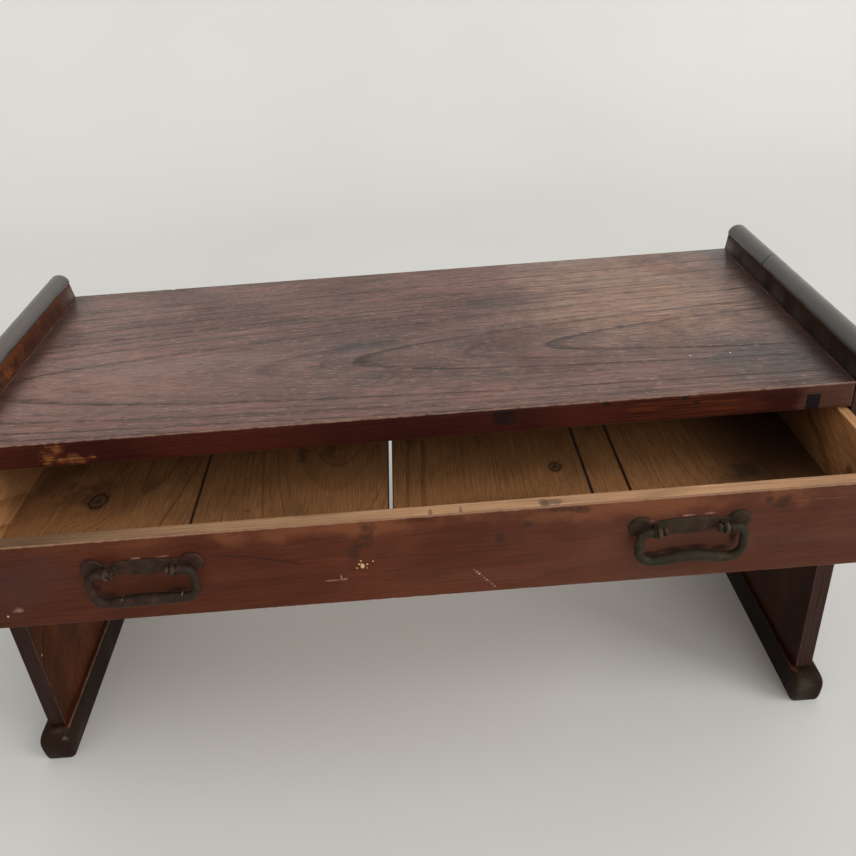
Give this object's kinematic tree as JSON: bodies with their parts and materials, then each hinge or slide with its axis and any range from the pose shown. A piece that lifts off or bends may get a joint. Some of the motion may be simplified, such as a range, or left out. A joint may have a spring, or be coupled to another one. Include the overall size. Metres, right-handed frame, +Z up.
{
  "type": "japanese side table",
  "caption": "Low Japanese side table: board top between upturned end boards on sled feet, with a full-width drawer and iron bail handles.",
  "frame": {"origin": "on the floor under the middle of the whole object's box, with the drawer part open as stored", "axes": "+X along the table towards its right end seen from the front, +Y from the front to the back, +Z up"},
  "size_m": [0.775, 0.4504, 0.381],
  "materials": {
    "top_wood": "satin old stain, long grain",
    "case_wood": "satin dark red-brown stain",
    "cap_wood": "satin near-black stain",
    "foot_wood": "satin near-black stain",
    "runner_wood": "bare softwood",
    "drawer_front_wood": "worn satin red-brown stain",
    "drawer_wood": "bare softwood, darkened with age",
    "nail_iron": "rusted iron",
    "handle_iron": "dark patinated wrought iron"
  },
  "bodies": {
    "carcass": {"top_board": "top_wood", "end_board_left": "case_wood", "end_board_right": "case_wood", "back_board": "case_wood", "end_cap_left": "cap_wood", "end_cap_right_front": "cap_wood", "end_cap_right_back": "cap_wood", "foot_left": "foot_wood", "foot_right": "foot_wood", "drawer_runner_left": "runner_wood", "drawer_runner_right": "runner_wood", "runner_peg_left_front": "runner_wood", "runner_peg_left_back": "runner_wood", "runner_peg_right_front": "runner_wood", "runner_peg_right_back": "runner_wood"},
    "drawer": {"drawer_front": "drawer_front_wood", "drawer_side_left": "drawer_wood", "drawer_side_right": "drawer_wood", "drawer_back": "drawer_wood", "drawer_floor_board_1": "drawer_wood", "drawer_floor_board_2": "drawer_wood", "drawer_floor_board_3": "drawer_wood", "drawer_floor_board_4": "drawer_wood", "drawer_floor_board_5": "drawer_wood", "floor_nail_1": "nail_iron", "floor_nail_2": "nail_iron", "floor_nail_3": "nail_iron", "floor_nail_4": "nail_iron", "floor_nail_5": "nail_iron", "handle_plate_left": "handle_iron", "handle_plate_right": "handle_iron", "handle_eye_left_1": "handle_iron", "handle_eye_left_2": "handle_iron", "handle_eye_right_1": "handle_iron", "handle_eye_right_2": "handle_iron"},
    "handle_left": {"handle_bail_left": "handle_iron"},
    "handle_right": {"handle_bail_right": "handle_iron"}
  },
  "joints": [
    {"name": "drawer_slide", "type": "slide", "parent": "carcass", "child": "drawer", "axis": [0, -1, 0], "range_m": [-0.1014, 0.1186]},
    {"name": "handle_left_swing", "type": "hinge", "parent": "drawer", "child": "handle_left", "pos_m": [-0.201, -0.2202, 0.3052], "axis": [-1, 0, 0], "range_deg": [0, 175]},
    {"name": "handle_right_swing", "type": "hinge", "parent": "drawer", "child": "handle_right", "pos_m": [0.201, -0.2202, 0.3052], "axis": [-1, 0, 0], "range_deg": [0, 175]}
  ]
}
